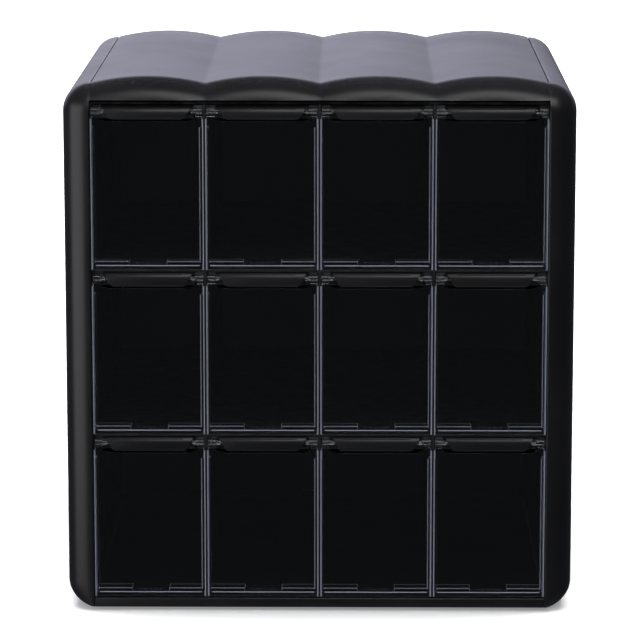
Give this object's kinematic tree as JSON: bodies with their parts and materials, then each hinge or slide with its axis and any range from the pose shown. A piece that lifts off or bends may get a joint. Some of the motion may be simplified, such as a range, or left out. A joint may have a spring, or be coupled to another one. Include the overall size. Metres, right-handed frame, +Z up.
{
  "type": "cube storage unit",
  "caption": "Black moulded countertop cube of small compartments, each closed by a clear lift-up door hinged at its top corners, under a scalloped top.",
  "frame": {"origin": "on the surface the unit stands on, under the middle of its bounding box", "axes": "+X to the right as seen from the front, +Y from the front to the back, +Z up"},
  "size_m": [0.43, 0.381, 0.457],
  "materials": {
    "case_black": "satin black moulded plastic with a fine even grain",
    "panel_black": "matt black sheet plastic, faint extrusion lines",
    "door_clear": "clear polished plastic with a slight blue cast at its edges",
    "foot_rubber": "soft black rubber",
    "screw_black": "black oxide steel"
  },
  "bodies": {
    "case": {"side_shell_left": "case_black", "side_shell_right": "case_black", "top_cover": "case_black", "shelf_lower": "panel_black", "shelf_upper": "panel_black", "divider_left": "panel_black", "divider_middle": "panel_black", "divider_right": "panel_black", "top_deck": "panel_black", "liner_left": "panel_black", "liner_right": "panel_black", "base_panel": "case_black", "back_panel": "panel_black", "hinge_rail_lower": "case_black", "hinge_rail_middle": "case_black", "hinge_rail_upper": "case_black", "back_screw_left_low": "screw_black", "back_screw_left_mid": "screw_black", "back_screw_left_high": "screw_black", "back_screw_right_low": "screw_black", "back_screw_right_mid": "screw_black", "back_screw_right_high": "screw_black", "foot_front_left": "foot_rubber", "foot_front_right": "foot_rubber", "foot_rear_left": "foot_rubber", "foot_rear_right": "foot_rubber"},
    "door_bottom_1": {"door_bottom_1": "door_clear"},
    "door_bottom_2": {"door_bottom_2": "door_clear"},
    "door_bottom_3": {"door_bottom_3": "door_clear"},
    "door_bottom_4": {"door_bottom_4": "door_clear"},
    "door_middle_1": {"door_middle_1": "door_clear"},
    "door_middle_2": {"door_middle_2": "door_clear"},
    "door_middle_3": {"door_middle_3": "door_clear"},
    "door_middle_4": {"door_middle_4": "door_clear"},
    "door_top_1": {"door_top_1": "door_clear"},
    "door_top_2": {"door_top_2": "door_clear"},
    "door_top_3": {"door_top_3": "door_clear"},
    "door_top_4": {"door_top_4": "door_clear"}
  },
  "joints": [
    {"name": "door_bottom_1_hinge", "type": "hinge", "parent": "case", "child": "door_bottom_1", "pos_m": [-0.144, -0.1847, 0.1463], "axis": [-1, 0, 0], "range_deg": [0, 100]},
    {"name": "door_bottom_2_hinge", "type": "hinge", "parent": "case", "child": "door_bottom_2", "pos_m": [-0.048, -0.1847, 0.1463], "axis": [-1, 0, 0], "range_deg": [0, 100]},
    {"name": "door_bottom_3_hinge", "type": "hinge", "parent": "case", "child": "door_bottom_3", "pos_m": [0.048, -0.1847, 0.1463], "axis": [-1, 0, 0], "range_deg": [0, 100]},
    {"name": "door_bottom_4_hinge", "type": "hinge", "parent": "case", "child": "door_bottom_4", "pos_m": [0.144, -0.1847, 0.1463], "axis": [-1, 0, 0], "range_deg": [0, 100]},
    {"name": "door_middle_1_hinge", "type": "hinge", "parent": "case", "child": "door_middle_1", "pos_m": [-0.144, -0.1847, 0.2876], "axis": [-1, 0, 0], "range_deg": [0, 100]},
    {"name": "door_middle_2_hinge", "type": "hinge", "parent": "case", "child": "door_middle_2", "pos_m": [-0.048, -0.1847, 0.2876], "axis": [-1, 0, 0], "range_deg": [0, 100]},
    {"name": "door_middle_3_hinge", "type": "hinge", "parent": "case", "child": "door_middle_3", "pos_m": [0.048, -0.1847, 0.2876], "axis": [-1, 0, 0], "range_deg": [0, 100]},
    {"name": "door_middle_4_hinge", "type": "hinge", "parent": "case", "child": "door_middle_4", "pos_m": [0.144, -0.1847, 0.2876], "axis": [-1, 0, 0], "range_deg": [0, 100]},
    {"name": "door_top_1_hinge", "type": "hinge", "parent": "case", "child": "door_top_1", "pos_m": [-0.144, -0.1847, 0.4289], "axis": [-1, 0, 0], "range_deg": [0, 100]},
    {"name": "door_top_2_hinge", "type": "hinge", "parent": "case", "child": "door_top_2", "pos_m": [-0.048, -0.1847, 0.4289], "axis": [-1, 0, 0], "range_deg": [0, 100]},
    {"name": "door_top_3_hinge", "type": "hinge", "parent": "case", "child": "door_top_3", "pos_m": [0.048, -0.1847, 0.4289], "axis": [-1, 0, 0], "range_deg": [0, 100]},
    {"name": "door_top_4_hinge", "type": "hinge", "parent": "case", "child": "door_top_4", "pos_m": [0.144, -0.1847, 0.4289], "axis": [-1, 0, 0], "range_deg": [0, 100]}
  ]
}
